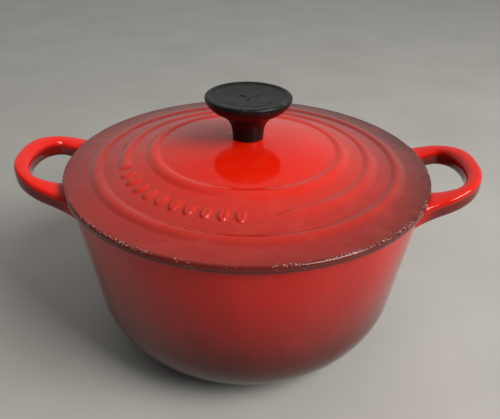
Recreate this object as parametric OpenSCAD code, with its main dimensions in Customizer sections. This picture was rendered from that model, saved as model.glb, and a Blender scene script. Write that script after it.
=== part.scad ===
// Round enamelled cast iron dutch oven: pot with two loop handles, ringed dome lid and screwed-on knob.
// Millimetres, +Z up, origin at the centre of the base plane. The handles lie along X.

/* [Pot] */
// Outer radius of the wall at the rim
rim_r = 122.2; // [115:0.1:130]
// Height of the rim above the base
rim_z = 130; // [110:1:150]
// Outer radius where the wall line and the base plane would meet
toe_r = 103.8; // [95:0.1:110]
// Radius of the big curve between wall and base
base_curve_r = 55.4; // [30:0.1:60]
// Thickness of the wall and floor
wall_t = 4.4; // [3.5:0.1:6]
// Radius of the shallow recess inside the foot
recess_r = 44; // [20:1:50]
// Depth of that recess
recess_h = 0.8; // [0.4:0.1:1.5]
// Thickness of the light enamel inside the pot and the lid
lining_t = 0.6; // [0.4:0.1:1]
// Bare band left between the rim and the top edge of the lining
lining_drop = 2; // [1:0.5:6]

/* [Loop handles] */
// Reach of a loop's outer edge from the pot's axis
loop_reach = 159.8; // [150:0.1:170]
// Half width of a loop across its legs
loop_half_w = 44.7; // [38:0.1:52]
// Distance from the axis to where the outer edge starts to turn in
loop_turn_x = 106.5; // [100:0.5:120]
// Fullness of the outer outline: 2 is an ellipse, more is squarer
loop_fullness = 2.6; // [2:0.1:3.5]
// Reach of the finger opening from the pot's axis
hole_reach = 149.8; // [140:0.1:155]
// Half width of the finger opening
hole_half_w = 27.2; // [20:0.1:32]
// Distance from the axis to where the opening's edge starts to turn in
hole_turn_x = 138.3; // [128:0.1:142]
// Height of the bar
bar_h = 12.8; // [9:0.1:15]
// Fullness of the bar's section: 2 is an ellipse, more is squarer
bar_fullness = 4; // [2:0.5:6]
// Distance from the axis to where the top face leaves the wall
root_x = 118; // [114:1:122]
// Depth of the top face below the rim at that point
root_drop = 2; // [2:0.5:10]
// Rise of the loop for each millimetre that it reaches out
loop_rise = 0.296; // [0:0.01:0.4]

/* [Lid] */
// Outer radius of the lid
lid_r = 125; // [122:0.5:135]
// Thickness of the lid's edge
edge_t = 5; // [4:0.5:7]
// Rounding of the edge's corners
edge_round = 1.5; // [0.5:0.5:2]
// Height of the dome above the edge
dome_h = 18.5; // [10:0.5:25]
// Thickness of the dome
dome_t = 4.8; // [4:0.1:6]
// Radius of the flat seat under the knob
seat_r = 13; // [12:0.5:18]
// Outer radius of the locating flange under the lid
flange_r = 116; // [112:0.5:116]
// Thickness of that flange
flange_w = 4; // [3:0.5:6]
// Depth of that flange below the seat
flange_h = 4; // [2:0.5:6]
// Radius of the inner of the three raised rings
ring_first_r = 65; // [55:1:70]
// Distance from each ring to the next
ring_pitch = 19; // [15:0.5:22]
// Width of a ring
ring_w = 9; // [5:0.5:12]
// Height of a ring
ring_h = 1.3; // [0.8:0.1:2]
// Where the middle ring's gap starts, in degrees about +Z
gap_start = 199; // [180:1:260]
// Length of the gap, in degrees
gap_angle = 77; // [30:1:100]
// Number of leaf-shaped studs in the gap
stud_count = 10; // [4:1:12]
// Length of a stud
stud_l = 10; // [6:0.5:12]
// Width of a stud
stud_w = 6; // [3:0.5:7]

/* [Knob] */
// Largest radius of the knob
knob_r = 29.2; // [22:0.1:32]
// Height of the knob
knob_h = 30; // [26:0.5:36]
// Radius of the stem
stem_r = 10.7; // [9:0.1:12]
// Radius of the flare between stem and cap
flare_r = 17; // [14:0.5:17]
// Rounding of the knob's edge
cap_round = 2.5; // [1.5:0.1:3]
// Radius of the dish in the top
dish_r = 24.8; // [18:0.1:26]
// Depth of the dish at its middle
dish_h = 1.6; // [0.6:0.1:3]

/* [Fastening] */
// Shank radius of the screw
shank_r = 2.95; // [2.4:0.05:4]
// Running clearance of the screw in the insert
thread_gap = 0.05; // [0.02:0.01:0.1]
// Radius of the hole through the lid
lid_hole_r = 3.5; // [3.2:0.1:4.5]
// Radius of the insert
insert_r = 5; // [4.5:0.1:6]
// Height of the insert
insert_h = 15; // [12:0.5:18]
// Length of screw inside the insert
screw_grip = 12; // [8:0.5:13]
// Radius of the screw's head
head_r = 5.6; // [5:0.1:7]
// Height of the screw's head
head_h = 3.6; // [2.5:0.1:5]
// Radius of the washer
washer_r = 8; // [7:0.5:10]
// Thickness of the washer
washer_t = 1.2; // [0.8:0.1:2]

/* [Hidden] */
$fn = 96;
eps = 0.01;

// Pot profile: the wall's lean, and the centre of the big base curve.
wall_lean = atan((rim_r - toe_r) / rim_z);
curve_x = toe_r - base_curve_r / tan((90 + wall_lean) / 2);
rim_round = 1.2;
arc_steps = 16;

// Loop handle: the steps round the loop and round the bar, and how far each leg runs on into the wall.
loop_steps = 34;
bar_steps = 16;
leg_steps = 3;
outer_run = 8;
inner_run = 27;

// Heights of the stack under the knob.
lid_z = rim_z + edge_t;
seat_z = lid_z + dome_h;
lid_under_z = seat_z - dome_t;
washer_z = lid_under_z - lining_t - washer_t;
screw_tip_z = seat_z + screw_grip;
flat_r = 12;
dome_steps = 22;

ring_arc_r = (pow(ring_w / 2, 2) + pow(ring_h, 2)) / (2 * ring_h);
stud_arc_r = (pow(stud_l / 2, 2) + pow(stud_w / 2, 2)) / stud_w;
stud_h = 1.2;
stud_root = 1.5;

// Height of the dome above the lid's edge at radius r: level at the edge and at the middle.
function dome(r) = dome_h * pow(1 - pow(r / lid_r, 2), 2);
function dome_slope(r) = atan(-4 * dome_h * r / pow(lid_r, 2) * (1 - pow(r / lid_r, 2)));
// Points of the dome from radius a to radius b, shifted by dz.
function dome_line(a, b, dz) =
    [for (i = [0:dome_steps]) let(r = a + (b - a) * i / dome_steps) [r, lid_z + dome(r) + dz]];
// Points on an arc about [x, y] from angle a to angle b.
function arc(x, y, r, a, b, steps) =
    [for (i = [0:steps]) let(t = a + (b - a) * i / steps) [x + r * cos(t), y + r * sin(t)]];
// Wall radius at height z, measured t inside the outer face.
function wall_r(z, t) = rim_r - (rim_z - z) * tan(wall_lean) - t / cos(wall_lean);

// Half section of the pot's space, t inside its outer face, up to height top.
module pot_half_section(t, top) {
    polygon(concat(
        [[0, t]],
        arc(curve_x, base_curve_r, base_curve_r - t, -90, -wall_lean, arc_steps),
        [[wall_r(top, t), top], [0, top]]));
}

// The outer form of the pot with its rounded rim corner.
module pot_outer() {
    rotate_extrude() difference() {
        pot_half_section(0, rim_z);
        translate([rim_r - rim_round, rim_z - rim_round]) difference() {
            square(2 * rim_round);
            circle(rim_round);
        }
    }
}

// Point at angle t on a rounded outline of half sizes [w, h]: its fullness bends an ellipse squarer.
function rounded(w, h, fullness, t) = let(p = 2 / fullness)
    [w * sign(cos(t)) * pow(abs(cos(t)), p), h * sign(sin(t)) * pow(abs(sin(t)), p)];
// Plan point of a loop's outer edge, and of its opening, at station s.
// The stations before 0 and past loop_steps are the legs, which run straight back into the wall.
function loop_t(s) = -90 + 180 * min(max(s, 0), loop_steps) / loop_steps;
function leg_back(s) = max(-s, s - loop_steps, 0) / leg_steps;
function loop_edge(s, turn_x, reach, half_w, fullness, run) =
    [turn_x - run * leg_back(s), 0] + rounded(reach - turn_x, half_w, fullness, loop_t(s));
function outer_edge(s) = loop_edge(s, loop_turn_x, loop_reach, loop_half_w, loop_fullness, outer_run);
function inner_edge(s) = loop_edge(s, hole_turn_x, hole_reach, hole_half_w, 2, inner_run);
// One point of the bar: across from the opening to the outer edge, and up on the rising slope.
function bar_point(s, k) = let(
    o = outer_edge(s),
    i = inner_edge(s),
    u = rounded(1, bar_h / 2, bar_fullness, 360 * (k + 0.5) / bar_steps),
    p = (o + i) / 2 + (o - i) / 2 * u[0],
    top = rim_z - root_drop + loop_rise * (p[0] - root_x))
    [p[0], p[1], top - bar_h / 2 + u[1]];

// A loop as one skin: rings of bar points at every station, joined in strips and closed at both ends.
module loop_handle() {
    stations = loop_steps + 2 * leg_steps + 1;
    points = [for (s = [0:stations - 1], k = [0:bar_steps - 1]) bar_point(s - leg_steps, k)];
    strips = [for (s = [0:stations - 2], k = [0:bar_steps - 1]) let(
        a = s * bar_steps + k,
        b = s * bar_steps + (k + 1) % bar_steps)
        each [[a, b, b + bar_steps], [a, b + bar_steps, a + bar_steps]]];
    first_end = [for (k = [bar_steps - 1:-1:0]) k];
    last_end = [for (k = [0:bar_steps - 1]) (stations - 1) * bar_steps + k];
    polyhedron(points, concat(strips, [first_end, last_end]));
}

module pot() {
    color("firebrick") difference() {
        union() {
            pot_outer();
            loop_handle();
            mirror([1, 0, 0]) loop_handle();
        }
        rotate_extrude() pot_half_section(wall_t, rim_z + 1);
        translate([0, 0, -1]) cylinder(r = recess_r, h = 1 + recess_h);
    }
}

module pot_lining() {
    top = rim_z - lining_drop;
    color("wheat") rotate_extrude() difference() {
        pot_half_section(wall_t, top);
        pot_half_section(wall_t + lining_t, top + 1);
    }
}

// Half section of one raised ring, standing on the dome at radius r.
module ring_section(r) {
    translate([r, lid_z + dome(r)]) rotate(dome_slope(r)) intersection() {
        translate([0, ring_h - ring_arc_r]) circle(ring_arc_r);
        translate([-ring_w, -1]) square([2 * ring_w, 1 + 2 * ring_h]);
    }
}

// Half section of the lid casting, from the hole to the rounded edge and back along the underside.
module lid_section() {
    e = lid_r - edge_round;
    flange_in = flange_r - flange_w;
    polygon(concat(
        [[lid_hole_r, seat_z], [seat_r, seat_z]],
        dome_line(seat_r + 3, e, 0),
        arc(e, lid_z - edge_round, edge_round, 75, 0, 4),
        arc(e, rim_z + edge_round, edge_round, 0, -90, 5),
        [[flange_r, rim_z], [flange_r, rim_z - flange_h], [flange_in, rim_z - flange_h]],
        dome_line(flange_in, flat_r, -dome_t),
        [[flat_r - 1, lid_under_z], [lid_hole_r, lid_under_z]]));
}

// One leaf-shaped stud standing on the dome at the middle ring's radius.
module stud(r) {
    translate([r, 0, lid_z + dome(r)]) rotate([0, -dome_slope(r), 0])
        translate([0, 0, -stud_root]) linear_extrude(stud_root + stud_h) intersection() {
            translate([0, stud_arc_r - stud_w / 2]) circle(stud_arc_r);
            translate([0, stud_w / 2 - stud_arc_r]) circle(stud_arc_r);
        }
}

module lid() {
    mid_r = ring_first_r + ring_pitch;
    color("firebrick") {
        rotate_extrude() lid_section();
        rotate_extrude() ring_section(ring_first_r);
        rotate_extrude() ring_section(mid_r + ring_pitch);
        rotate([0, 0, gap_start + gap_angle]) rotate_extrude(angle = 360 - gap_angle) ring_section(mid_r);
        for (i = [0:stud_count - 1])
            rotate([0, 0, gap_start + gap_angle * (i + 1) / (stud_count + 1)]) stud(mid_r);
    }
}

module lid_lining() {
    edge = flange_r - flange_w;
    color("wheat") rotate_extrude() polygon(concat(
        dome_line(edge, flat_r, -dome_t),
        [[flat_r - 1, lid_under_z], [lid_hole_r, lid_under_z]],
        [[lid_hole_r, lid_under_z - lining_t], [flat_r - 1, lid_under_z - lining_t]],
        dome_line(flat_r, edge, -dome_t - lining_t)));
}

// Half section of the knob: stem, flare, sloping underside, rounded edge and dished top.
module knob_section() {
    flare_start = 3;
    flare_end = 80;
    cap_x = knob_r - cap_round;
    cap_z = knob_h - cap_round;
    dish_arc_r = (pow(dish_r, 2) + pow(dish_h, 2)) / (2 * dish_h);
    translate([0, seat_z]) difference() {
        polygon(concat(
            [[0, 0], [stem_r, 0]],
            arc(stem_r + flare_r, flare_start, flare_r, 180, 180 - flare_end, 12),
            arc(cap_x, cap_z, cap_round, -45, 90, 8),
            [[0, knob_h]]));
        translate([0, knob_h - dish_h + dish_arc_r]) circle(dish_arc_r, $fn = 360);
    }
}

// Outer form of the threaded insert: two collars with a waist that locks it in the moulding.
module insert_form() {
    waist_r = insert_r - 0.8;
    translate([0, 0, seat_z]) rotate_extrude() polygon([
        [0, 0], [insert_r, 0], [insert_r, insert_h * 0.35], [waist_r, insert_h * 0.45],
        [waist_r, insert_h * 0.6], [insert_r, insert_h * 0.7], [insert_r, insert_h], [0, insert_h]]);
}

module knob() {
    color("dimgray") difference() {
        rotate_extrude() knob_section();
        insert_form();
    }
}

module knob_insert() {
    bottom_wall = 1.5;
    color("gold") difference() {
        insert_form();
        translate([0, 0, seat_z - 1]) cylinder(r = shank_r + thread_gap, h = 1 + insert_h - bottom_wall);
    }
}

// Pan head screw with a straight driver slot, put in from below.
module knob_screw() {
    slot_w = 1.4;
    slot_h = 1.6;
    head_z = washer_z - head_h;
    point = 0.8;
    color("silver") difference() {
        union() {
            translate([0, 0, washer_z - eps]) cylinder(r = shank_r, h = screw_tip_z - point - washer_z + eps);
            translate([0, 0, screw_tip_z - point]) cylinder(r1 = shank_r, r2 = shank_r - point, h = point);
            translate([0, 0, head_z + 1]) cylinder(r = head_r, h = head_h - 1);
            translate([0, 0, head_z]) cylinder(r1 = head_r - 1, r2 = head_r, h = 1);
        }
        translate([-head_r - 1, -slot_w / 2, head_z - 1]) cube([2 * head_r + 2, slot_w, 1 + slot_h]);
    }
}

module knob_washer() {
    color("silver") translate([0, 0, washer_z]) difference() {
        cylinder(r = washer_r, h = washer_t);
        translate([0, 0, -1]) cylinder(r = shank_r + 0.25, h = washer_t + 2);
    }
}

pot();
pot_lining();
lid();
lid_lining();
knob();
knob_insert();
knob_screw();
knob_washer();
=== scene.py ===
import math

import bmesh
import bpy
import numpy as np
from mathutils import Matrix, Vector


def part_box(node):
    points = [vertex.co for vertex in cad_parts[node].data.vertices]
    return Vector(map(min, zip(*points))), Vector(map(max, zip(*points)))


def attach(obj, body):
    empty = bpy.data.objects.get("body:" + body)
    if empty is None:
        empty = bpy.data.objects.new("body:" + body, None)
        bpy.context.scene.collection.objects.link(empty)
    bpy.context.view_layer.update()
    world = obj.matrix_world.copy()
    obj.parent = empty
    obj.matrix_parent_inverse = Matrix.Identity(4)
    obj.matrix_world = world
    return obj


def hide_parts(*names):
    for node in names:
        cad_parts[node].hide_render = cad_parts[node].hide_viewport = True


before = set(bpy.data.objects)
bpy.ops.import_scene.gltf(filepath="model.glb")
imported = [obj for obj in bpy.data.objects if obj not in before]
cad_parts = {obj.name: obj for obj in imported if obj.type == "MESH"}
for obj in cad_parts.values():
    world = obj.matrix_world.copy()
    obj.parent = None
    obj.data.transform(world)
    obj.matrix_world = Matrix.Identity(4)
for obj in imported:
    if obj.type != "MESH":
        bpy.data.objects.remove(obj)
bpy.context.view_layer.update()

# Pot casting. One grey iron casting: a round wall that leans outwards, one big curve into the floor,
# a ground foot ring, and two loop handles cast on. Red enamel is fused to the outside and darkens to
# maroon at the base, partly its own shading and partly painted shade; the flat top of the rim keeps
# only its matt black ground coat.
POT_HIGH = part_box("pot")[1]
LINING_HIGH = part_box("pot_lining")[1]
LINING_DROP = 0.002
RIM_R = POT_HIGH.y
RIM_Z = LINING_HIGH.z + LINING_DROP
TOE_R = 0.1038
WALL_T = 0.0044
BASE_CURVE_R = 0.0554
FOOT_IN_R = 0.044
FOOT_H = 0.0008
FOOT_STEP_W = 0.0006
FOOT_ROUNDS = (0.0008, 0.0004)
RIM_ROUNDS = (0.0012, 0.0011)
POT_STEP = 0.0032
WALL_LEAN = math.atan((RIM_R - TOE_R) / RIM_Z)
POT_SIDES = 256


def rounded_line(corners, radii, step):
    """Points of a line through the corners, with an arc in place of each inner corner.
    The arc touches both sides at radius / tan(half the corner's angle) from the corner and swings
    about its centre from one touching point to the other. Straight runs are cut into equal parts no
    longer than step, with one short part at each end that holds the shading of the arcs."""
    short_part = 0.0004
    finest_turn = math.radians(14)
    corners = np.array(corners, float)
    parts = [corners[:1]]
    for before, corner, after, radius in zip(corners, corners[1:], corners[2:], radii):
        back = (before - corner) / np.linalg.norm(before - corner)
        ahead = (after - corner) / np.linalg.norm(after - corner)
        half = math.acos(np.clip(back @ ahead, -1, 1)) / 2
        centre = corner + (back + ahead) / np.linalg.norm(back + ahead) * radius / math.sin(half)
        start = corner + back * radius / math.tan(half) - centre
        end = corner + ahead * radius / math.tan(half) - centre
        swing = math.pi - 2 * half
        count = max(3, math.ceil(swing * radius / step), math.ceil(swing / finest_turn))
        s = np.linspace(0, 1, count + 1)[:, None]
        parts.append(centre + (np.sin((1 - s) * swing) * start + np.sin(s * swing) * end) / math.sin(swing))
    parts.append(corners[-1:])
    line = [parts[0]]
    for arc in parts[1:]:
        gap = np.linalg.norm(arc[0] - line[-1][-1])
        if gap > 1e-7:
            s = np.linspace(0, 1, max(2, math.ceil(gap / step) + 1))
            hold = min(0.25, short_part / gap)
            s = np.unique(np.concatenate([s, [hold, 1 - hold]]))[1:-1, None]
            line.append(line[-1][-1] + (arc[0] - line[-1][-1]) * s)
        line.append(arc)
    return np.concatenate(line)


def turned(profile, turns):
    """Grid of a turned form: each profile point (r, z) goes to (r cos t, r sin t, z) at every turn t."""
    r = profile[:, 0, None]
    z = profile[:, 1, None] + np.zeros_like(turns)
    return np.stack([r * np.cos(turns), r * np.sin(turns), z], -1)


def full_turn(sides):
    """Equal turns from 0 to 360 degrees, with the last on the first."""
    return np.linspace(0, 2 * math.pi, sides + 1)


def skin(name, grids, weld=2e-6):
    """One closed mesh over grids of points (rows x columns x 3): each cell between four neighbouring
    points is a face. Points that meet, at a seam or a pole, are welded, and faces turned outwards."""
    points = np.concatenate([g.reshape(-1, 3) for g in grids])
    faces = []
    first = 0
    for g in grids:
        index = first + np.arange(g.shape[0] * g.shape[1]).reshape(g.shape[:2])
        around = [index[:-1, :-1], index[:-1, 1:], index[1:, 1:], index[1:, :-1]]
        faces.append(np.stack(around, -1).reshape(-1, 4))
        first += index.size
    faces = np.concatenate(faces)
    mesh = bpy.data.meshes.new(name)
    mesh.vertices.add(len(points))
    mesh.vertices.foreach_set("co", points.astype(np.float32).ravel())
    mesh.loops.add(faces.size)
    mesh.loops.foreach_set("vertex_index", faces.astype(np.int32).ravel())
    mesh.polygons.add(len(faces))
    mesh.polygons.foreach_set("loop_start", np.arange(0, faces.size, 4, dtype=np.int32))
    mesh.update(calc_edges=True)
    shell = bmesh.new()
    shell.from_mesh(mesh)
    bmesh.ops.remove_doubles(shell, verts=shell.verts, dist=weld)
    bmesh.ops.recalc_face_normals(shell, faces=shell.faces)
    shell.to_mesh(mesh)
    shell.free()
    mesh.polygons.foreach_set("use_smooth", np.ones(len(mesh.polygons), bool))
    mesh.update()
    made = bpy.data.objects.new(name, mesh)
    bpy.context.scene.collection.objects.link(made)
    return made


def wall_at(z, inside):
    """Wall radius at height z, measured inside the outer face: the rim's radius less what the lean
    takes off on the way down and less the wall thickness across the lean."""
    return RIM_R - (RIM_Z - z) * math.tan(WALL_LEAN) - inside / math.cos(WALL_LEAN)


pot_profile = rounded_line(
    [
        (0, FOOT_H),
        (FOOT_IN_R - FOOT_STEP_W, FOOT_H),
        (FOOT_IN_R, 0),
        (TOE_R, 0),
        (RIM_R, RIM_Z),
        (wall_at(RIM_Z, WALL_T), RIM_Z),
        (wall_at(WALL_T, WALL_T), WALL_T),
        (0, WALL_T),
    ],
    [*FOOT_ROUNDS, BASE_CURVE_R, *RIM_ROUNDS, BASE_CURVE_R - WALL_T],
    POT_STEP,
)

# Loop handle: plan outlines of its outer edge and of the finger opening, its bar, and its roots.
LOOP_REACH = POT_HIGH.x - 0.00005
LOOP_HALF_W = 0.0447
LOOP_TURN_X = 0.1065
LOOP_FULLNESS = 2.6
LOOP_LEG = 0.008
HOLE_REACH = 0.1498
HOLE_HALF_W = 0.0272
HOLE_TURN_X = 0.1383
HOLE_FULLNESS = 2
HOLE_LEG = 0.027
BAR_H = 0.0128
BAR_OUT_FULLNESS = 3.8
BAR_IN_FULLNESS = 2.8
ROOT_X = 0.118
ROOT_DROP = 0.002
LOOP_RISE = 0.296
ROOT_LEG = 0.016
ROOT_OUTWARDS = 0.006
ROOT_INWARDS = 0.010
ROOT_PULL = 0.55
UNDER_FILLET = 0.0055
TOP_FILLET = 0.0016
ROOT_DEPTH = 0.0006


def rounded_outline(w, h, fullness, t):
    """Rounded outline of half sizes w and h: w cos(t) and h sin(t), each raised to 2 / fullness with
    its sign kept, so that 2 is an ellipse and more is squarer."""
    c = np.cos(t)
    s = np.sin(t)
    power = 2 / fullness
    return np.stack([w * np.sign(c) * np.abs(c) ** power, h * np.sign(s) * np.abs(s) ** power], -1)


def loop_edge(turn_x, reach, half_w, fullness, run, flare, stations, root_stations):
    """Plan points of one edge of a loop, from root to root. The middle is half a rounded outline on
    two straight legs, at equal lengths along it. Each root flares from the leg onto the wall along a
    cubic curve whose ends follow the leg and the wall: (1 - s)^3 W + 3 (1 - s)^2 s P + 3 (1 - s) s^2 Q
    + s^3 B, with P and Q pulled from W and B towards the corner where the leg meets the wall."""
    bend = rounded_outline(reach - turn_x, half_w, fullness, np.linspace(-math.pi / 2, math.pi / 2, 1200))
    legs = np.linspace(run, 0, 200, endpoint=False)[:, None] * [[-1, 0]]
    line = np.concatenate([legs + bend[0], bend, (legs + bend[-1])[::-1]]) + [turn_x, 0]
    root_r = wall_at(RIM_Z - ROOT_DROP, ROOT_DEPTH)
    line = line[np.hypot(line[:, 0], line[:, 1]) > root_r]
    along = np.concatenate([[0], np.cumsum(np.linalg.norm(np.diff(line, axis=0), axis=1))])
    cut = np.linspace(ROOT_LEG, along[-1] - ROOT_LEG, stations)
    middle = np.stack([np.interp(cut, along, line[:, 0]), np.interp(cut, along, line[:, 1])], -1)
    turn = math.atan2(line[0, 1], line[0, 0]) + flare / root_r
    wall = root_r * np.array([math.cos(turn), math.sin(turn)])
    ahead = (middle[1] - middle[0]) / np.linalg.norm(middle[1] - middle[0])
    from_wall = wall + ROOT_PULL * (line[0] - wall)
    from_leg = middle[0] - ROOT_PULL * ROOT_LEG * ahead
    s = np.linspace(0, 1, root_stations, endpoint=False)[:, None]
    root = (1 - s) ** 3 * wall + 3 * (1 - s) ** 2 * s * from_wall
    root = root + 3 * (1 - s) * s ** 2 * from_leg + s ** 3 * middle[0]
    return np.concatenate([root, middle, (root * [1, -1])[::-1]])


def loop_handle():
    """Grid of one loop handle: at every station the bar's section is a rounded outline set between
    the inner and the outer edge, squarer on its outer side, and its height rises with x. Towards a
    root the section grows up and down by a fillet times (1 - s)^2, and leans back with the wall."""
    stations = 96
    roots = 18
    loop_form = (LOOP_TURN_X, LOOP_REACH, LOOP_HALF_W, LOOP_FULLNESS, LOOP_LEG, -ROOT_OUTWARDS)
    hole_form = (HOLE_TURN_X, HOLE_REACH, HOLE_HALF_W, HOLE_FULLNESS, HOLE_LEG, ROOT_INWARDS)
    outer = loop_edge(*loop_form, stations, roots)
    inner = loop_edge(*hole_form, stations, roots)
    swell = (1 - np.linspace(0, 1, roots, endpoint=False)) ** 2
    near = np.concatenate([swell, np.zeros(stations), swell[::-1]])[:, None]
    turns = full_turn(64)
    square = rounded_outline(1, 1, BAR_OUT_FULLNESS, turns)
    section = np.where(np.cos(turns)[:, None] > 0, square, rounded_outline(1, 1, BAR_IN_FULLNESS, turns))
    across = section[:, 0]
    up = section[:, 1]
    plan = (outer + inner)[:, None] / 2 + (outer - inner)[:, None] / 2 * across[:, None]
    fillet = np.where(up > 0, TOP_FILLET, UNDER_FILLET) * near
    z = RIM_Z - ROOT_DROP + LOOP_RISE * (plan[..., 0] - ROOT_X) - BAR_H / 2 + up * (BAR_H / 2 + fillet)
    r = np.hypot(plan[..., 0], plan[..., 1])
    lean = near * (RIM_Z - ROOT_DROP - z) * math.tan(WALL_LEAN) / r
    grid = np.concatenate([plan * (1 - lean[..., None]), z[..., None]], -1)
    first = np.repeat(grid[:1].mean(1, keepdims=True), grid.shape[1], 1)
    last = np.repeat(grid[-1:].mean(1, keepdims=True), grid.shape[1], 1)
    return np.concatenate([first, grid, last])


handle = loop_handle()
pot = skin("pot_casting", [turned(pot_profile, full_turn(POT_SIDES)), handle, handle * [-1, 1, 1]])


def node(tree, kind, values=None, **options):
    """A shader node with its options and inputs set. An input given as a socket is linked to it."""
    made = tree.nodes.new(kind)
    for key, value in options.items():
        setattr(made, key, value)
    for key, value in (values or {}).items():
        if isinstance(value, bpy.types.NodeSocket):
            tree.links.new(value, made.inputs[key])
        else:
            made.inputs[key].default_value = value
    return made


def maths(tree, operation, *values, clamp=False):
    """One sum on numbers or sockets, as the operation's name says."""
    made = node(tree, "ShaderNodeMath", dict(enumerate(values)), operation=operation, use_clamp=clamp)
    return made.outputs[0]


def mixed(tree, share, a, b, blend="MIX"):
    """Colour a with a share of colour b, blended as named."""
    values = {0: share, 6: a, 7: b}
    return node(tree, "ShaderNodeMix", values, data_type="RGBA", blend_type=blend).outputs[2]


def between(tree, value, low, high, low_out=0.0, high_out=1.0, smooth=False):
    """value from low to high brought onto low_out to high_out, and held at the ends."""
    values = {0: value, 1: low, 2: high, 3: low_out, 4: high_out}
    kind = "SMOOTHSTEP" if smooth else "LINEAR"
    return node(tree, "ShaderNodeMapRange", values, interpolation_type=kind).outputs[0]


def cloudy(tree, coords, scale, detail=2.0, roughness=0.5, distortion=0.0, stretch=None):
    """Noise from 0 to 1, about scale blotches to the metre; stretch scales the three directions."""
    if stretch:
        coords = node(tree, "ShaderNodeMapping", {0: coords, 3: stretch}).outputs[0]
    made = node(tree, "ShaderNodeTexNoise", {"Vector": coords, "Scale": scale, "Detail": detail})
    made.inputs["Roughness"].default_value = roughness
    made.inputs["Distortion"].default_value = distortion
    return made.outputs[0]


def shaded(tree, value, stops):
    """Colour along a row of stops: value 0 to 1 picks between the neighbouring (place, colour) pairs."""
    made = node(tree, "ShaderNodeValToRGB", {0: value})
    row = made.color_ramp.elements
    while len(row) < len(stops):
        row.new(1.0)
    for element, (place, colour) in zip(row, stops):
        element.position = place
        element.color = (*colour, 1)
    return made.outputs[0]


def new_finish(name):
    """An empty material with its shader, and the piece's own coordinates with radius and height."""
    finish = bpy.data.materials.new(name)
    finish.use_nodes = True
    tree = finish.node_tree
    shader = tree.nodes["Principled BSDF"]
    coords = node(tree, "ShaderNodeTexCoord").outputs["Object"]
    x, y, z = node(tree, "ShaderNodeSeparateXYZ", {0: coords}).outputs
    squares = maths(tree, "ADD", maths(tree, "MULTIPLY", x, x), maths(tree, "MULTIPLY", y, y))
    radius = maths(tree, "SQRT", squares)
    return finish, tree, shader, coords, radius, z


def enamel(tree, shader, coords, colour, chips, chip_colour, gloss, haze, wave):
    """Vitreous enamel: colour with fine speckle, a few chips, a surface that is wavy like poured glass
    and finely pitted, and roughness from gloss to gloss + haze in soft patches."""
    speckle = cloudy(tree, coords, 900, 2, 0.6)
    speckle_shade = shaded(tree, speckle, [(0.3, (0.72, 0.72, 0.72)), (0.7, (1, 1, 1))])
    colour = mixed(tree, 0.35, colour, speckle_shade, "MULTIPLY")
    colour = mixed(tree, chips, colour, chip_colour)
    patches = cloudy(tree, coords, 34, 4, 0.6)
    roughness = between(tree, patches, 0.3, 0.75, gloss, gloss + haze)
    roughness = maths(tree, "ADD", roughness, maths(tree, "MULTIPLY", chips, 0.4), clamp=True)
    waves = cloudy(tree, coords, 30, 1, 0.4)
    pits = cloudy(tree, coords, 420, 3, 0.6)
    height = maths(tree, "ADD", maths(tree, "MULTIPLY", waves, wave), maths(tree, "MULTIPLY", pits, 0.03))
    height = maths(tree, "SUBTRACT", height, maths(tree, "MULTIPLY", chips, 0.25))
    bump = node(tree, "ShaderNodeBump", {"Strength": 1.0, "Distance": 0.0006, "Height": height}).outputs[0]
    tree.links.new(colour, shader.inputs["Base Color"])
    tree.links.new(roughness, shader.inputs["Roughness"])
    tree.links.new(bump, shader.inputs["Normal"])
    shader.inputs["IOR"].default_value = GLAZE_IOR


GLAZE_IOR = 1.42
# Pot reds by height: the darkening towards the base is partly the enamel's own shading and partly painted
# shade on the lower curve.
POT_REDS_WITH_PAINTED_SHADE = [
    (0.0, (0.024, 0.006, 0.005)),
    (0.14, (0.036, 0.006, 0.004)),
    (0.26, (0.062, 0.006, 0.004)),
    (0.42, (0.14, 0.006, 0.003)),
    (0.62, (0.35, 0.007, 0.003)),
    (0.86, (0.55, 0.008, 0.003)),
    (1.0, (0.60, 0.008, 0.003)),
]
HANDLE_RED = (0.84, 0.012, 0.004, 1)
# Dark maroon for the handles' lower faces: painted shade.
HANDLE_PAINTED_SHADE = (0.16, 0.009, 0.006, 1)
CHIP_GREY = (0.55, 0.45, 0.42, 1)
RIM_BLACK = (0.05, 0.035, 0.028, 1)
SHADE_DRIFT = 0.034
HANDLE_BLEND = 0.008
CHIPS_START = (0.004, 0.012)
CHIPS_END = (0.034, 0.018)

pot_finish, tree, shader, coords, radius, z = new_finish("pot_enamel")
drift = maths(tree, "MULTIPLY", maths(tree, "SUBTRACT", cloudy(tree, coords, 14, 3), 0.5), SHADE_DRIFT)
level = maths(tree, "DIVIDE", maths(tree, "ADD", z, drift), RIM_Z)
pot_red = shaded(tree, level, POT_REDS_WITH_PAINTED_SHADE)
# Painted reflection: faint vertical streaks darken the pot's colour the way reflections of the surroundings
# in wavy glaze would.
reflection_streaks = cloudy(tree, coords, 55, 3, 0.6, 0.3, (1.0, 1.0, 0.16))
painted_reflection_streaks = shaded(tree, reflection_streaks, [(0.35, (0.80, 0.80, 0.80)), (0.65, (1, 1, 1))])
pot_red = mixed(tree, 0.6, pot_red, painted_reflection_streaks, "MULTIPLY")
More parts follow.
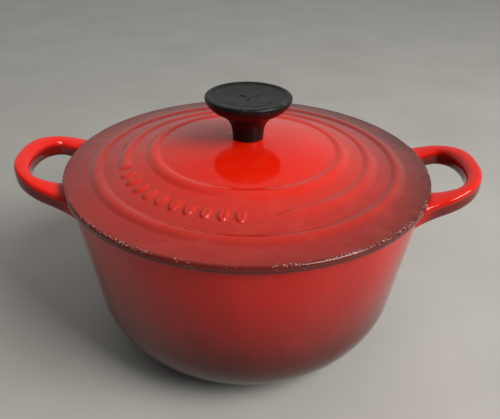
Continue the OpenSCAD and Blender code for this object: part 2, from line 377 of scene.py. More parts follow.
# Painted shade on the handles: by height in the bar's section, their lower faces go from the handle red to a
# dark maroon.
x, _, _ = node(tree, "ShaderNodeSeparateXYZ", {0: coords}).outputs
reach = maths(tree, "SUBTRACT", maths(tree, "ABSOLUTE", x), ROOT_X)
bar_middle = maths(tree, "MULTIPLY_ADD", reach, LOOP_RISE, RIM_Z - ROOT_DROP - BAR_H / 2)
bar_level = maths(tree, "DIVIDE", maths(tree, "SUBTRACT", z, bar_middle), BAR_H / 2)
bar_red_painted_shade = mixed(tree, between(tree, bar_level, 0.1, 0.97, smooth=True), HANDLE_PAINTED_SHADE, HANDLE_RED)
pot_red = mixed(tree, between(tree, radius, RIM_R, RIM_R + HANDLE_BLEND), pot_red, bar_red_painted_shade)
low_zone = maths(tree, "MULTIPLY", between(tree, z, *CHIPS_START), between(tree, z, *CHIPS_END))
specks = between(tree, cloudy(tree, coords, 300, 5, 0.65), 0.67, 0.69)
pot_chips = maths(tree, "MULTIPLY", specks, low_zone)
enamel(tree, shader, coords, pot_red, pot_chips, CHIP_GREY, 0.06, 0.07, 1.4)
rim_top = between(tree, z, RIM_Z - 0.0007, RIM_Z - 0.0003)
on_rim = maths(tree, "MULTIPLY", rim_top, between(tree, radius, RIM_R + 0.0005, RIM_R))
bare = node(tree, "ShaderNodeBsdfPrincipled", {"Base Color": RIM_BLACK, "Roughness": 0.55})
both = node(tree, "ShaderNodeMixShader", {0: on_rim, 1: shader.outputs[0], 2: bare.outputs[0]})
tree.links.new(both.outputs[0], tree.nodes["Material Output"].inputs["Surface"])
pot.data.materials.append(pot_finish)
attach(pot, "pot")
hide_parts("pot")

# Pot lining. Sand-coloured enamel fused to the inside of the casting, with a thin edge that stops
# just below the rim. It is smooth, glossy and slightly stained by cooking near the floor.
LINING_T = 0.0006
LINING_CURVE_R = BASE_CURVE_R - WALL_T
LINING_OVERLAP = 0.00002
LINING_ROUNDS = (0.0001, 0.0004)
LINING_STEP = 0.004

lining_profile = rounded_line(
    [
        (0, WALL_T - LINING_OVERLAP),
        (wall_at(WALL_T, WALL_T), WALL_T - LINING_OVERLAP),
        (wall_at(LINING_HIGH.z, WALL_T) + LINING_OVERLAP, LINING_HIGH.z),
        (wall_at(LINING_HIGH.z, WALL_T + LINING_T), LINING_HIGH.z),
        (wall_at(WALL_T + LINING_T, WALL_T + LINING_T), WALL_T + LINING_T),
        (0, WALL_T + LINING_T),
    ],
    [LINING_CURVE_R, *LINING_ROUNDS, LINING_CURVE_R - LINING_T],
    LINING_STEP,
)
lining = skin("pot_lining_glaze", [turned(lining_profile, full_turn(192))])

SAND = [(0.3, (0.60, 0.50, 0.36)), (0.7, (0.70, 0.62, 0.48))]
STAIN = (0.34, 0.20, 0.09, 1)
MARK_GREY = (0.2, 0.19, 0.18, 1)


def sand_finish(name, stain_low, stain_high):
    """Sand enamel, stained tea-brown in cloudy patches where height lies from stain_high to stain_low."""
    finish, tree, shader, coords, radius, z = new_finish(name)
    colour = shaded(tree, cloudy(tree, coords, 22, 4), SAND)
    stain_patches = between(tree, cloudy(tree, coords, 45, 5, 0.6), 0.45, 0.75)
    stain = maths(tree, "MULTIPLY", between(tree, z, stain_high, stain_low), stain_patches)
    colour = mixed(tree, maths(tree, "MULTIPLY", stain, 0.45), colour, STAIN)
    marks = between(tree, cloudy(tree, coords, 90, 5, 0.7, 2.0), 0.715, 0.73)
    marks = maths(tree, "MULTIPLY", marks, 0.35)
    enamel(tree, shader, coords, colour, marks, MARK_GREY, 0.09, 0.1, 0.5)
    return finish


lining.data.materials.append(sand_finish("pot_sand_enamel", 0.004, 0.05))
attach(lining, "pot")
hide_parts("pot_lining")

# Lid casting. A thin iron dome with a rounded edge, a flange below that drops inside the rim, and
# three raised rings; the middle ring breaks off for a row of raised leaves. Its red enamel darkens
# to maroon at the edge, where knocks have chipped it; the darkening is partly its own shading and
# partly painted shade, lighter to the front left and darker to the back right.
LID_LOW, LID_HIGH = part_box("lid")
LID_R = LID_HIGH.y
EDGE_T = 0.005
EDGE_ROUND = 0.0015
LID_Z = RIM_Z + EDGE_T
SEAT_Z = LID_HIGH.z
DOME_H = SEAT_Z - LID_Z
DOME_T = 0.0048
FLANGE_R = 0.116
FLANGE_IN_R = 0.112
HOLE_R = 0.0035
SEAT_R = 0.012
SEAT_FADE_R = 0.0165
RING_R = (0.065, 0.084, 0.103)
RING_W = 0.009
RING_H = 0.0015
GAP_START = math.radians(199)
GAP_ANGLE = math.radians(77)
RING_GONE = -0.003
RING_WHOLE = -0.026
LEAVES = 10
LEAF_L = 0.0112
LEAF_W = 0.0066
LEAF_H = 0.0014
LEAF_EDGE = 0.0008
VEIN_HALF_W = 0.0008
VEIN_SHARE = 0.4
LIP_Z = RIM_Z + 0.00003


def eased(low, high, value):
    """0 below low, 1 above high, and 3t^2 - 2t^3 of the share between."""
    t = np.clip((value - low) / (high - low), 0, 1)
    return t * t * (3 - 2 * t)


def dome(r):
    """Height of the dome above the lid's edge: its rise times (1 - (r / R)^2)^2, level at both ends."""
    return DOME_H * (1 - (r / LID_R) ** 2) ** 2


def ring_height(off):
    """Height of a ring at a distance off its middle: a low swell, (1 - t^2)^1.4 of its half width."""
    t = np.clip(np.abs(off) / (RING_W / 2 + 0.0005), 0, 1)
    return RING_H * (1 - t * t) ** 1.4


def leaf_inside(along, across, length, width):
    """Depth inside a leaf outline, which two equal arcs make: the arcs' radius less the larger
    distance from their two centres, so it is positive inside."""
    arc_r = ((length / 2) ** 2 + (width / 2) ** 2) / width
    offset = arc_r - width / 2
    return arc_r - np.maximum(np.hypot(along, across - offset), np.hypot(along, across + offset))


def lid_relief(r, turn):
    """Height of rings and leaves at radius r and turn t. The middle ring fades out with an eased
    taper before both ends of the gap, whole at one arc length from it and gone at another. The
    leaves stand at equal shares of the gap, points along the radius, and a leaf's height eases up
    from its outline and dips along its vein."""
    inner, middle, outer = RING_R
    past = (turn - GAP_START) % (2 * math.pi)
    into_gap = np.minimum(past, GAP_ANGLE - past)
    taper = eased(RING_GONE, RING_WHOLE, into_gap * middle)
    broad = np.maximum(0.35, taper)
    height = ring_height(r - inner) + ring_height((r - middle) / broad) * taper + ring_height(r - outer)
    pitch = GAP_ANGLE / (LEAVES + 1)
    number = np.clip(np.round(past / pitch), 1, LEAVES)
    across = middle * (past - number * pitch)
    leaf = eased(0, LEAF_EDGE, leaf_inside(r - middle, across, LEAF_L, LEAF_W))
    return height + LEAF_H * leaf * (1 - VEIN_SHARE * eased(VEIN_HALF_W, 0, np.abs(across)))


dome_r = np.unique(np.round(np.concatenate([
    np.arange(SEAT_FADE_R, LID_R - EDGE_ROUND, 0.0012),
    np.arange(0.0775, 0.0905, 0.00045),
    np.arange(0.059, 0.071, 0.00075),
    np.arange(0.097, 0.109, 0.00075),
    [LID_R - EDGE_ROUND],
]), 6))
seat_r = np.array([HOLE_R + 0.0002, 0.006, 0.009, 0.0105, 0.0118, 0.0128, 0.0138, 0.0148, 0.0157])
top_r = np.concatenate([seat_r, dome_r])
top_z = LID_Z + dome(top_r)
top_z += (SEAT_Z - top_z) * (1 - eased(SEAT_R, SEAT_FADE_R, top_r))
edge_turns = np.radians(np.linspace(78, 0, 8))
edge_arc = np.stack([np.cos(edge_turns), np.sin(edge_turns) - 1], -1) * EDGE_ROUND
edge_top = edge_arc + [LID_R - EDGE_ROUND, LID_Z]
under_r = np.linspace(FLANGE_IN_R - 0.002, SEAT_R, 46)
under = np.stack([under_r, LID_Z + dome(under_r) - DOME_T], -1)
lower = rounded_line(
    [
        edge_top[-1],
        (LID_R, LIP_Z),
        (FLANGE_R, LIP_Z),
        (FLANGE_R - 0.0002, LID_LOW.z),
        (FLANGE_IN_R, LID_LOW.z),
        (FLANGE_IN_R - 0.0004, under[0, 1] - 0.0001),
        under[0],
    ],
    [EDGE_ROUND, 0.0008, 0.0012, 0.0012, 0.0005],
    0.003,
)
screw_hole = np.array([
    (HOLE_R + 0.0003, under[-1, 1]),
    (HOLE_R, under[-1, 1] + 0.0003),
    (HOLE_R, SEAT_Z - 0.0002),
    (top_r[0], SEAT_Z),
])
lid_profile = np.concatenate([np.stack([top_r, top_z], -1), edge_top, lower[1:-1], under, screw_hole])
LEAVES_FROM = 195.0
LEAVES_TO = 280.0
fine = np.radians(np.arange(LEAVES_FROM, LEAVES_TO, 0.5))
coarse = np.radians(np.linspace(LEAVES_TO, LEAVES_FROM + 360.0, 152))
lid_turns = np.concatenate([fine, coarse])
lid_grid = turned(lid_profile, lid_turns)
on_top = np.arange(len(lid_profile)) < len(top_r)
lid_grid[..., 2] += np.where(on_top[:, None], lid_relief(lid_profile[:, :1], lid_turns[None]), 0)
lid = skin("lid_casting", [lid_grid])
place = np.zeros(len(lid.data.vertices) * 3, np.float32)
lid.data.vertices.foreach_get("co", place)
place = place.reshape(-1, 3).astype(float)
place_r = np.hypot(place[:, 0], place[:, 1])
crest = lid_relief(place_r, np.arctan2(place[:, 1], place[:, 0])) / RING_H
crest *= place[:, 2] > LID_Z - EDGE_ROUND
lid.data.attributes.new("crest", "FLOAT", "POINT").data.foreach_set("value", crest.astype(np.float32))

# Lid reds by radius: partly the enamel's own shading and partly painted shade.
LID_REDS_WITH_PAINTED_SHADE = [
    (0.0, (0.80, 0.011, 0.001)),
    (0.34, (0.79, 0.013, 0.002)),
    (0.40, (0.74, 0.018, 0.006)),
    (0.51, (0.60, 0.025, 0.013)),
    (0.58, (0.50, 0.024, 0.015)),
    (0.64, (0.42, 0.022, 0.015)),
    (0.71, (0.33, 0.020, 0.014)),
    (0.76, (0.27, 0.018, 0.012)),
    (0.80, (0.22, 0.016, 0.011)),
    (0.834, (0.18, 0.014, 0.010)),
    (0.883, (0.13, 0.012, 0.008)),
    (0.966, (0.085, 0.010, 0.007)),
]
PAINTED_LIGHT_SHIFT = 0.019
SHADE_REACH = 0.145
LID_DRIFT = 0.012
CREST_PAINTED_HIGHLIGHT = (0.80, 0.02, 0.006, 1)
SMUDGE_PAINTED_REFLECTION = (0.62, 0.10, 0.08, 1)
CORNER_DARK = (0.07, 0.005, 0.003, 1)
GAP_PAINTED_SHADOW = (0.03, 0.006, 0.005, 1)
WORN_PINK = (0.72, 0.46, 0.41, 1)

lid_finish, tree, shader, coords, radius, z = new_finish("lid_enamel")
drift = maths(tree, "MULTIPLY", maths(tree, "SUBTRACT", cloudy(tree, coords, 16, 3), 0.5), LID_DRIFT)
x, y, _ = node(tree, "ShaderNodeSeparateXYZ", {0: coords}).outputs
# Painted light and shade: the radial ramp is moved so that the front left is lighter and the back right
# darker.
to_front_left = maths(tree, "ADD", maths(tree, "MULTIPLY", x, -0.5), maths(tree, "MULTIPLY", y, -0.87))
to_front_left = maths(tree, "MULTIPLY", radius, to_front_left)
painted_light_shift = maths(tree, "MULTIPLY", to_front_left, -PAINTED_LIGHT_SHIFT / LID_R ** 2)
level = maths(tree, "DIVIDE", maths(tree, "ADD", maths(tree, "ADD", radius, drift), painted_light_shift), SHADE_REACH)
lid_red = shaded(tree, level, LID_REDS_WITH_PAINTED_SHADE)
# Painted highlight: the crests of the rings and leaves are lightened towards a bright red.
raised = node(tree, "ShaderNodeAttribute", attribute_name="crest").outputs["Fac"]
crest_highlight = maths(tree, "MULTIPLY", between(tree, raised, 0.45, 1.0), 0.25)
lid_red = mixed(tree, crest_highlight, lid_red, CREST_PAINTED_HIGHLIGHT)
edge_across = between(tree, radius, LID_R - 0.0048, LID_R - 0.0016)
edge_zone = maths(tree, "MULTIPLY", edge_across, between(tree, z, LID_Z - 0.0014, LID_Z - 0.0006))
rubbed = between(tree, cloudy(tree, coords, 60, 3), 0.28, 0.50)
specks = cloudy(tree, coords, 1000, 3, 0.65)
near_edge = between(tree, radius, LID_R - 0.0085, LID_R - 0.0015, 0.0, 0.62)
worn = maths(tree, "MULTIPLY", maths(tree, "MAXIMUM", edge_zone, near_edge), rubbed)
limit = between(tree, worn, 0.0, 1.0, 0.80, 0.565)
edge_chips = between(tree, maths(tree, "SUBTRACT", specks, limit), 0.0, 0.03)
top_zone = maths(tree, "MULTIPLY", between(tree, radius, 0.100, 0.123), 0.05)
dust = between(tree, maths(tree, "ADD", cloudy(tree, coords, 700, 5, 0.7), top_zone), 0.73, 0.755)
lid_chips = maths(tree, "MAXIMUM", edge_chips, maths(tree, "MULTIPLY", dust, 0.7))
# Painted reflection: soft greyish-pink patches stand in for the surroundings mirrored in the lid.
reflection_smudges = between(tree, cloudy(tree, coords, 26, 5, 0.65, 1.5, (1.0, 1.6, 1.0)), 0.48, 0.72)
lid_red = mixed(tree, maths(tree, "MULTIPLY", reflection_smudges, 0.16), lid_red, SMUDGE_PAINTED_REFLECTION)
# Painted shadow: the lowest band of the lid's edge face, over the gap to the rim, is darkened nearly to
# black.
face_across = between(tree, radius, LID_R - 0.0016, LID_R - 0.0010)
gap_shadow_band = maths(tree, "MULTIPLY", face_across, between(tree, z, LIP_Z + 0.0020, LIP_Z + 0.0008))
on_corner = between(tree, radius, LID_R - 0.0026, LID_R - 0.0008)
lid_red = mixed(tree, maths(tree, "MULTIPLY", on_corner, 0.65), lid_red, CORNER_DARK)
lid_red = mixed(tree, maths(tree, "MULTIPLY", gap_shadow_band, 0.85), lid_red, GAP_PAINTED_SHADOW)
enamel(tree, shader, coords, lid_red, lid_chips, WORN_PINK, 0.07, 0.06, 0.8)
lid.data.materials.append(lid_finish)
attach(lid, "lid")
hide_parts("lid")

# Lid lining. The same sand enamel, fused to the hollow of the lid inside the flange and stopping at
# the screw hole.
lining_r = np.linspace(HOLE_R + 0.0003, FLANGE_IN_R - 0.0006, 56)
hollow = LID_Z + dome(np.maximum(lining_r, SEAT_R)) - DOME_T
lid_lining_profile = np.concatenate([
    np.stack([lining_r, hollow + LINING_OVERLAP], -1),
    np.stack([lining_r, hollow - LINING_T], -1)[::-1],
    [[lining_r[0], hollow[0] + LINING_OVERLAP]],
])
lid_lining = skin("lid_lining_glaze", [turned(lid_lining_profile, full_turn(160))])
lid_lining.data.materials.append(sand_finish("lid_sand_enamel", 0.150, 0.125))
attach(lid_lining, "lid")
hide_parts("lid_lining")

# Knob. A solid black phenolic moulding: a stem that flares into a wide cap with a rolled edge, and a
# shallow dish on top with a sprig of leaves and an arc of small dimples pressed into it.
KNOB_LOW, KNOB_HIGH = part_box("knob")
KNOB_R = KNOB_HIGH.y
KNOB_Z = KNOB_LOW.z
INSERT_LOW, INSERT_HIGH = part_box("knob_insert")
INSERT_R = INSERT_HIGH.y
INSERT_WAIST_R = INSERT_R - 0.0008
INSERT_H = INSERT_HIGH.z - INSERT_LOW.z
COLLAR_LOW_Z = INSERT_H * 0.35
WAIST_LOW_Z = INSERT_H * 0.45
WAIST_HIGH_Z = INSERT_H * 0.6
COLLAR_HIGH_Z = INSERT_H * 0.7
DISH_R = 0.0252
DISH_Z = 0.0291
DISH_DEPTH = 0.0011
DIMPLE_R = 0.0188
DIMPLE_SIZE = 0.00078
DIMPLE_PITCH = math.radians(6.2)
DIMPLE_ARC = math.radians(104)
SPRIG_R = 0.0046
SPRIG_L = 0.0062
SPRIG_W = 0.0030
PRESS_DEPTH = 0.00045


def smooth_line(points, parts):
    """Curve through the points: each span is a cubic whose end slopes are half the chord between the
    neighbours on either side."""
    p = np.array(points, float)
    p = np.concatenate([2 * p[:1] - p[1:2], p, 2 * p[-1:] - p[-2:-1]])
    t = np.linspace(0, 1, parts, endpoint=False)[None, :, None]
    a, b, c, d = (p[i:len(p) - 3 + i, None] for i in range(4))
    low_terms = 2 * b + (c - a) * t
    spans = 0.5 * (low_terms + (2 * a - 5 * b + 4 * c - d) * t ** 2 + (3 * b - a - 3 * c + d) * t ** 3)
    return np.concatenate([spans.reshape(-1, 2), p[-2:-1]])


def knob_press(r, turn):
    """Depth pressed into the dish: round dimples at equal turns along an arc at the front, and three
    leaves at equal turns round the middle."""
    ahead = (turn + math.pi / 2 + math.pi) % (2 * math.pi) - math.pi
    off = DIMPLE_R * (ahead - DIMPLE_PITCH * np.round(ahead / DIMPLE_PITCH))
    dimple = eased(DIMPLE_SIZE, DIMPLE_SIZE * 0.3, np.hypot(r - DIMPLE_R, off))
    dimple = dimple * (np.abs(ahead) < DIMPLE_ARC / 2)
    third = 2 * math.pi / 3
    swing = ahead - third * np.round(ahead / third)
    leaf = leaf_inside(r * np.cos(swing) - SPRIG_R, r * np.sin(swing), SPRIG_L, SPRIG_W)
    return PRESS_DEPTH * np.maximum(dimple, eased(0, 0.0004, leaf))


cap_line = smooth_line(
    [
        (0.0104, 0.0003), (0.0107, 0.0035), (0.0111, 0.0070), (0.0121, 0.0102), (0.0141, 0.0135),
        (0.0171, 0.0164), (0.0206, 0.0188), (0.0240, 0.0209), (0.0266, 0.0233), (0.0284, 0.0258),
        (KNOB_R - 0.0001, 0.0279), (0.0287, 0.0293), (0.0277, 0.02985), (0.0266, 0.02990), (0.0257, 0.0297),
    ],
    6,
)
dish_r = np.concatenate([
    np.arange(DISH_R, 0.0206, -0.0006),
    np.arange(0.0206, 0.0170, -0.00030),
    np.arange(0.0170, 0.0082, -0.0009),
    np.arange(0.0082, 0.0002, -0.00035),
])
dish_z = DISH_Z - DISH_DEPTH * (1 - (dish_r / DISH_R) ** 2)
dish_z += 0.0004 * eased(0.0244, DISH_R, dish_r)
bore_line = np.array([
    (0.0, INSERT_H), (INSERT_R, INSERT_H), (INSERT_R, COLLAR_HIGH_Z), (INSERT_WAIST_R, WAIST_HIGH_Z),
    (INSERT_WAIST_R, WAIST_LOW_Z), (INSERT_R, COLLAR_LOW_Z), (INSERT_R, 0.00002), (0.0101, 0.00002),
])
dish_line = np.stack([dish_r, dish_z], -1)
dish_middle = [[0, DISH_Z - DISH_DEPTH]]
knob_profile = np.concatenate([bore_line, cap_line, dish_line, dish_middle]) + [0, KNOB_Z]
knob_turns = full_turn(288)
knob_grid = turned(knob_profile, knob_turns)
in_dish = np.arange(len(knob_profile)) >= len(bore_line) + len(cap_line)
knob_grid[..., 2] -= np.where(in_dish[:, None], knob_press(knob_profile[:, :1], knob_turns[None]), 0)
knob = skin("knob_moulding", [knob_grid])

SCUFF_GREY = (0.16, 0.16, 0.15, 1)
PHENOLIC_IOR = 1.34

knob_finish, tree, shader, coords, radius, z = new_finish("phenolic")
black_mottle = cloudy(tree, coords, 60, 5, 0.6)
black = shaded(tree, black_mottle, [(0.3, (0.0035, 0.0037, 0.0034)), (0.7, (0.0065, 0.0068, 0.0062))])
ridge_across = between(tree, radius, 0.0225, 0.0256)
ridge = maths(tree, "MULTIPLY", ridge_across, between(tree, z, KNOB_Z + 0.0285, KNOB_Z + 0.0292))
rub = between(tree, cloudy(tree, coords, 150, 6, 0.7, 1.0), 0.56, 0.66)
scuffs = maths(tree, "MULTIPLY", maths(tree, "MULTIPLY", ridge, rub), 0.45)
hair = cloudy(tree, coords, 30, 3, 0.6, 0.6, (1.0, 16.0, 1.0))
hair = maths(tree, "MULTIPLY", between(tree, hair, 0.70, 0.72), 0.25)
worn = maths(tree, "MAXIMUM", scuffs, hair)
black = mixed(tree, worn, black, SCUFF_GREY)
satin = between(tree, cloudy(tree, coords, 120, 4, 0.6), 0.3, 0.7, 0.33, 0.46)
satin = maths(tree, "ADD", satin, maths(tree, "MULTIPLY", worn, 0.25), clamp=True)
fine_grain = cloudy(tree, coords, 2600, 2, 0.6)
grain = maths(tree, "ADD", fine_grain, maths(tree, "MULTIPLY", cloudy(tree, coords, 130, 3), 2.5))
bump = node(tree, "ShaderNodeBump", {"Strength": 0.5, "Distance": 0.00005, "Height": grain}).outputs[0]
tree.links.new(black, shader.inputs["Base Color"])
tree.links.new(satin, shader.inputs["Roughness"])
tree.links.new(bump, shader.inputs["Normal"])
shader.inputs["IOR"].default_value = PHENOLIC_IOR
knob.data.materials.append(knob_finish)
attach(knob, "knob")
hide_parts("knob")

# Threaded insert. A turned brass bush moulded into the knob: two knurled collars with a waist
# between them that the moulding grips, and a blind bore from below.
BORE_R = 0.003
BORE_END = 0.0015
KNURLS = 48
KNURL_DEPTH = 0.00018

insert_profile = rounded_line(
    [
        (0, INSERT_H),
        (INSERT_R, INSERT_H),
        (INSERT_R, COLLAR_HIGH_Z),
        (INSERT_WAIST_R, WAIST_HIGH_Z),
        (INSERT_WAIST_R, WAIST_LOW_Z),
        (INSERT_R, COLLAR_LOW_Z),
        (INSERT_R, 0),
        (BORE_R + 0.0004, 0),
        (BORE_R, 0.0004),
        (BORE_R, INSERT_H - BORE_END - 0.001),
        (0, INSERT_H - BORE_END),
    ],
    [0.0003, 0.0002, 0.0002, 0.0002, 0.0002, 0.0003, 0.0001, 0.0001, 0.0002],
    0.0012,
) + [0, INSERT_LOW.z]
insert_turns = full_turn(KNURLS * 6)
insert_grid = turned(insert_profile, insert_turns)
collar = eased(INSERT_WAIST_R + 0.0002, INSERT_R - 0.0001, insert_profile[:, :1])
knurl = 1 - KNURL_DEPTH * collar * (0.5 - 0.5 * np.cos(KNURLS * insert_turns)) / INSERT_R
insert_grid[..., :2] *= knurl[..., None]
insert = skin("insert_bush", [insert_grid])


def metal_finish(name, light, dark, gloss, haze, lines):
    """Worked metal: colour from dark to light in soft patches, roughness from gloss to gloss + haze,
    and fine tool lines that run round the piece: noise on radius and height alone, lines to the
    metre."""
    finish, tree, shader, coords, radius, z = new_finish(name)
    colour = shaded(tree, cloudy(tree, coords, 320, 4, 0.6), [(0.3, dark), (0.7, light)])
    flat = node(tree, "ShaderNodeCombineXYZ", {0: radius, 1: 0.0, 2: z}).outputs[0]
    tool = cloudy(tree, flat, lines, 3, 0.7)
    roughness = between(tree, tool, 0.3, 0.7, gloss, gloss + haze)
    bump = node(tree, "ShaderNodeBump", {"Strength": 0.35, "Distance": 0.00004, "Height": tool}).outputs[0]
    tree.links.new(colour, shader.inputs["Base Color"])
    tree.links.new(roughness, shader.inputs["Roughness"])
    tree.links.new(bump, shader.inputs["Normal"])
    shader.inputs["Metallic"].default_value = 1.0
    return finish


BRASS_LIGHT = (0.78, 0.56, 0.24)
BRASS_DARK = (0.60, 0.40, 0.15)
insert.data.materials.append(metal_finish("brass", BRASS_LIGHT, BRASS_DARK, 0.22, 0.2, 5200))
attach(insert, "knob")
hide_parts("knob_insert")

# Washer. A stamped stainless ring between the lid's lining and the screw's head, with one edge
# rolled over by the punch.
WASHER_LOW, WASHER_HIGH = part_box("knob_washer")
WASHER_R = WASHER_HIGH.y
WASHER_IN_R = 0.0032
WASHER_MID_Z = (WASHER_LOW.z + WASHER_HIGH.z) / 2
WASHER_GAP = 0.00003
WASHER_ROUNDS = [0.00015, 0.00015, 0.0004, 0.0002]

washer_corners = [
    (WASHER_IN_R, WASHER_MID_Z),
    (WASHER_IN_R, WASHER_HIGH.z - WASHER_GAP),
    (WASHER_R, WASHER_HIGH.z - WASHER_GAP),
    (WASHER_R, WASHER_LOW.z + WASHER_GAP),
    (WASHER_IN_R, WASHER_LOW.z + WASHER_GAP),
    (WASHER_IN_R, WASHER_MID_Z),
]
washer_profile = rounded_line(washer_corners, WASHER_ROUNDS, 0.001)
washer = skin("washer_ring", [turned(washer_profile, full_turn(120))])
WASHER_LIGHT = (0.66, 0.66, 0.64)
WASHER_DARK = (0.48, 0.48, 0.47)
washer.data.materials.append(metal_finish("washer_steel", WASHER_LIGHT, WASHER_DARK, 0.2, 0.22, 3600))
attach(washer, "washer")
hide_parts("knob_washer")

# Screw. A stainless M6 pan head screw put in from below: a rolled thread with a chamfered tip, and
# a head with a milled driver slot.
SCREW_LOW, SCREW_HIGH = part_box("knob_screw")
HEAD_R = SCREW_HIGH.y
HEAD_TOP = WASHER_LOW.z
SLOT_W = 0.0014
SLOT_H = 0.0016
SHANK_R = 0.00293
THREAD_PITCH = 0.001
THREAD_DEPTH = 0.0005
THREAD_START = HEAD_TOP + 0.0022
TIP_CHAMFER = 0.0008
TIP_GAP = 0.00001
SHANK_ROOT = 0.0006
HEAD_GAP = 0.00002
PAN_RISE = 0.0011


def screw_shank():
    """Grid of the shank: a ramped groove winds up the bar, its depth a clipped triangle wave of
    height / pitch less turn, faded in above the head and chamfered at the tip."""
    turns = full_turn(40)
    tip = SCREW_HIGH.z - TIP_GAP
    z = np.arange(HEAD_TOP - SHANK_ROOT, tip, THREAD_PITCH / 9)
    z = np.append(z, tip)[:, None]
    wave = np.abs(((z / THREAD_PITCH - turns / (2 * math.pi)) % 1) * 2 - 1)
    groove = THREAD_DEPTH * np.clip(wave * 1.35 - 0.15, 0, 1) * eased(THREAD_START - 0.001, THREAD_START, z)
    chamfer = np.clip(TIP_CHAMFER - (SCREW_HIGH.z - z), 0, None)
    r = SHANK_R - np.maximum(groove, chamfer)
    grid = np.stack([r * np.cos(turns), r * np.sin(turns), z + 0 * r], -1)
    ends = [np.stack([0 * turns, 0 * turns, 0 * turns + end], -1)[None] for end in (z[0, 0], z[-1, 0])]
    return np.concatenate([ends[0], grid, ends[1]])


def screw_head():
    """Grid of the head, in slices across the slot. A slice at y is a closed line: along the underside
    at the pan's height, or the slot's floor inside the slot, and back along the flat top. The pan
    rises by the fourth power of the radius."""
    side = HEAD_R * np.sin(np.linspace(-math.pi / 2, math.pi / 2, 41))
    slot = SLOT_W / 2
    beside = side[np.abs(side) > slot + 0.0001]
    y = np.sort(np.concatenate([beside, [-slot, -slot, slot, slot], np.linspace(-slot, slot, 5)[1:-1]]))
    in_slot = np.abs(y) < slot
    in_slot[np.flatnonzero(y == -slot)[1]] = True
    in_slot[np.flatnonzero(y == slot)[0]] = True
    half = np.sqrt(np.clip(HEAD_R ** 2 - y ** 2, 0, None))[:, None]
    share = np.sin(np.linspace(-math.pi / 2, math.pi / 2, 33))[None]
    x = half * share
    pan = SCREW_LOW.z + PAN_RISE * (np.hypot(x, y[:, None]) / HEAD_R) ** 4
    low = np.where(in_slot[:, None], SCREW_LOW.z + SLOT_H, pan)
    under = np.stack([x, y[:, None] + 0 * x, low], -1)
    top = np.stack([x, y[:, None] + 0 * x, np.full_like(x, HEAD_TOP - HEAD_GAP)], -1)[:, ::-1]
    return np.concatenate([under, top, under[:, :1]], 1)


screw = skin("screw_m6", [screw_shank(), screw_head()], 1e-6)
screw.data.set_sharp_from_angle(angle=math.radians(38))
SCREW_LIGHT = (0.68, 0.68, 0.66)
SCREW_DARK = (0.50, 0.50, 0.49)
screw.data.materials.append(metal_finish("screw_steel", SCREW_LIGHT, SCREW_DARK, 0.18, 0.2, 4200))
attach(screw, "screw")
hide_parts("knob_screw")

# Stage. A wide pale worktop that the pot stands on, a soft pale room round it that is dimmer in
# front, one large soft lamp high on the front right, and the camera in front and above.
FLOOR_R = 6.0
FLOOR_GAP = 0.0002

floor_rings = np.concatenate([[0.0], np.geomspace(0.05, FLOOR_R, 24)])
floor = skin("worktop", [turned(np.stack([floor_rings, 0 * floor_rings - FLOOR_GAP], -1), full_turn(64))])
if floor.data.polygons[0].normal.z < 0:
    floor.data.flip_normals()
floor_finish, tree, shader, coords, radius, z = new_finish("worktop_paint")
paint = shaded(tree, cloudy(tree, coords, 9, 4), [(0.3, (0.42, 0.41, 0.38)), (0.7, (0.47, 0.46, 0.43))])
tree.links.new(paint, shader.inputs["Base Color"])
shader.inputs["Roughness"].default_value = 0.6
floor.data.materials.append(floor_finish)

ROOM_FRONT = 0.18
room = bpy.data.worlds.new("room")
room.use_nodes = True
tree = room.node_tree
outwards = node(tree, "ShaderNodeTexCoord").outputs["Generated"]
x, y, z = node(tree, "ShaderNodeSeparateXYZ", {0: outwards}).outputs
height = between(tree, z, 0.0, 1.0)
walls = [
    (0.0, (0.42, 0.415, 0.40)),
    (0.3, (0.50, 0.495, 0.48)),
    (0.6, (0.47, 0.465, 0.45)),
    (1.0, (0.40, 0.395, 0.385)),
]
upwards = shaded(tree, height, walls)
sideways = maths(tree, "ADD", y, maths(tree, "MULTIPLY", x, 0.45))
front = between(tree, sideways, 0.35, -0.45, 1.0, ROOM_FRONT, True)
front = between(tree, z, 0.6, 1.0, front, 1.0)
light = mixed(tree, 1.0, upwards, front, "MULTIPLY")
tree.links.new(light, tree.nodes["Background"].inputs["Color"])
tree.nodes["Background"].inputs["Strength"].default_value = 1.0
bpy.context.scene.world = room


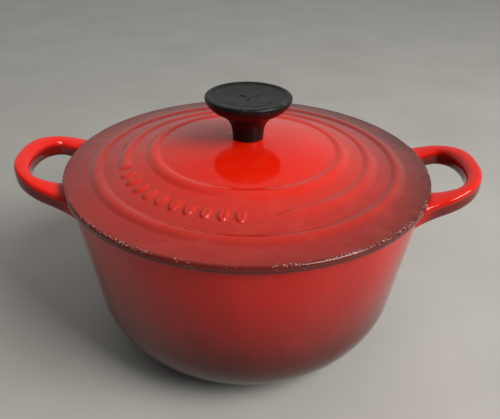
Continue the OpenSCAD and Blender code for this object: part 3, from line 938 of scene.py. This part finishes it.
def soft_lamp(name, place, aim, along, length, width, brightness, colour):
    """A rectangular lamp at place, facing aim, its length turned towards along. Its power is
    brightness times pi times its area."""
    back = (Vector(place) - Vector(aim)).normalized()
    side = Vector(along) - back * back.dot(Vector(along))
    side.normalize()
    made = bpy.data.objects.new(name, bpy.data.lights.new(name, "AREA"))
    made.data.shape = "RECTANGLE"
    made.data.size = length
    made.data.size_y = width
    made.data.energy = brightness * math.pi * length * width
    made.data.color = colour
    turn = Matrix((side, back.cross(side), back)).transposed().to_4x4()
    made.matrix_world = Matrix.Translation(place) @ turn
    bpy.context.scene.collection.objects.link(made)


LAMP_PLACE = (1.02, -0.65, 1.14)
LAMP_SIDE = 0.85
LAMP_BRIGHTNESS = 12.2
LAMP_WHITE = (1.0, 0.985, 0.96)
soft_lamp("window", LAMP_PLACE, (0, 0, 0.08), (0.6, 1, 0), LAMP_SIDE, LAMP_SIDE, LAMP_BRIGHTNESS, LAMP_WHITE)

CAMERA_BACK = 0.3601
CAMERA_UP = 0.1743
CAMERA_ROUND = math.radians(1.24)
CAMERA_DOWN = math.radians(30.69)
CAMERA_SIDE = math.radians(-0.37)
CAMERA_ROLL = math.radians(1.06)
CAMERA_LENS = 40.907
camera = bpy.data.objects.new("camera", bpy.data.cameras.new("camera"))
camera.data.sensor_width = 36
camera.data.sensor_fit = "HORIZONTAL"
camera.data.lens = CAMERA_LENS
camera.data.clip_start = 0.02
round_turn = Matrix.Rotation(CAMERA_ROUND + CAMERA_SIDE, 4, "Z")
down_turn = Matrix.Rotation(math.pi / 2 - CAMERA_DOWN, 4, "X")
roll_turn = Matrix.Rotation(CAMERA_ROLL, 4, "Z")
camera_x = CAMERA_BACK * math.sin(CAMERA_ROUND)
camera_y = -CAMERA_BACK * math.cos(CAMERA_ROUND)
camera_place = Matrix.Translation((camera_x, camera_y, LID_Z + CAMERA_UP))
camera.matrix_world = camera_place @ (round_turn @ down_turn @ roll_turn)
bpy.context.scene.collection.objects.link(camera)
bpy.context.scene.camera = camera
bpy.context.scene.view_settings.view_transform = "Standard"
